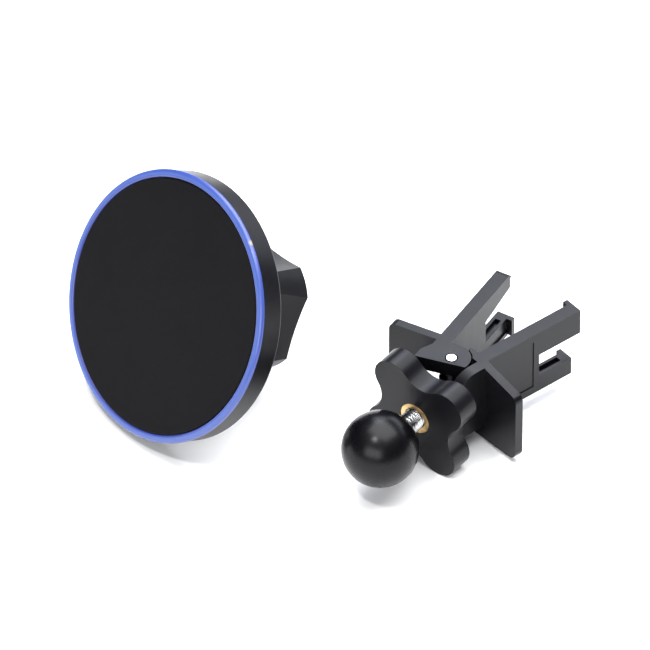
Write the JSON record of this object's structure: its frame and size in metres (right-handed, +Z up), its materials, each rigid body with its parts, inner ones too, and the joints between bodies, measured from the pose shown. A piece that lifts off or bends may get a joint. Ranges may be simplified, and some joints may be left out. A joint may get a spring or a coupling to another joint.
{
  "type": "car phone mount",
  "caption": "Magnetic charging head with a lit blue rim and a ball socket, lying beside its screw-clamped air-vent clip with a ball stud.",
  "frame": {"origin": "centre of the clip's ball", "axes": "+Y along the ball stud from the ball towards the jaws, +Z up from the table along the hinge pin, +X to the right jaw"},
  "size_m": [0.1017, 0.0773, 0.0556],
  "materials": {
    "black_plastic": "satin moulded black",
    "face_rubber": "smooth matte black",
    "light_blue": "translucent blue, lit from behind",
    "ball_black": "satin black",
    "steel": "turned, bright",
    "polished_steel": "polished",
    "brass": "turned, slightly dull",
    "magnet": "nickel plated",
    "copper": "enamelled copper wire",
    "ferrite": "dark grey ferrite",
    "board_green": "solder mask",
    "chip_black": "moulded package",
    "led_white": "clear epoxy, emissive",
    "grey_plastic": "moulded"
  },
  "bodies": {
    "clip_core": {"ball": "ball_black", "ball_stud": "steel", "hinge_pin": "polished_steel"},
    "washer": {"pressure_washer": "steel"},
    "knob": {"clamp_knob": "black_plastic", "knob_insert": "brass"},
    "left_jaw": {"left_jaw": "black_plastic"},
    "right_jaw": {"right_jaw": "black_plastic"},
    "head": {"face_pad": "face_rubber", "light_ring": "light_blue", "front_frame": "grey_plastic", "magnet_ring": "magnet", "magnet_shield": "steel", "charging_coil": "copper", "ferrite_disc": "ferrite", "circuit_board": "board_green", "control_chips": "chip_black", "ring_leds": "led_white", "usb_socket": "steel", "usb_tongue": "chip_black", "rear_housing": "black_plastic", "housing_screws": "steel", "ball_socket": "black_plastic", "socket_screws": "steel", "socket_pad": "face_rubber"},
    "collar": {"collar_nut": "black_plastic"}
  },
  "joints": [
    {"name": "knob_travel", "type": "slide", "parent": "clip_core", "child": "washer", "axis": [0, 1, 0], "range_m": [-0.0006, 0.0016]},
    {"name": "knob_turn", "type": "hinge", "parent": "washer", "child": "knob", "pos_m": [0, 0.015, 0], "axis": [0, 1, 0], "range_deg": [-165, 495]},
    {"name": "left_jaw_swing", "type": "hinge", "parent": "clip_core", "child": "left_jaw", "pos_m": [0, 0.02537, 0], "axis": [0, 0, 1], "range_deg": [-7.2, 2.4]},
    {"name": "right_jaw_swing", "type": "hinge", "parent": "clip_core", "child": "right_jaw", "pos_m": [0, 0.02537, 0], "axis": [0, 0, 1], "range_deg": [-4.47, 13.4]},
    {"name": "head_lift", "type": "slide", "parent": "clip_core", "child": "head", "axis": [0, 0, 1], "range_m": [0, 0.06]},
    {"name": "collar_turn", "type": "hinge", "parent": "head", "child": "collar", "pos_m": [-0.04957, 0.01136, 0.00698], "axis": [0.2156, 0.8645, -0.454], "range_deg": [-90, 270]}
  ],
  "couplings": [
    {"joint": "knob_travel", "follows": "knob_turn", "m_per_rad": 0.00012732},
    {"joint": "left_jaw_swing", "follows": "knob_turn", "ratio": -0.014545},
    {"joint": "right_jaw_swing", "follows": "knob_turn", "ratio": 0.027071}
  ]
}
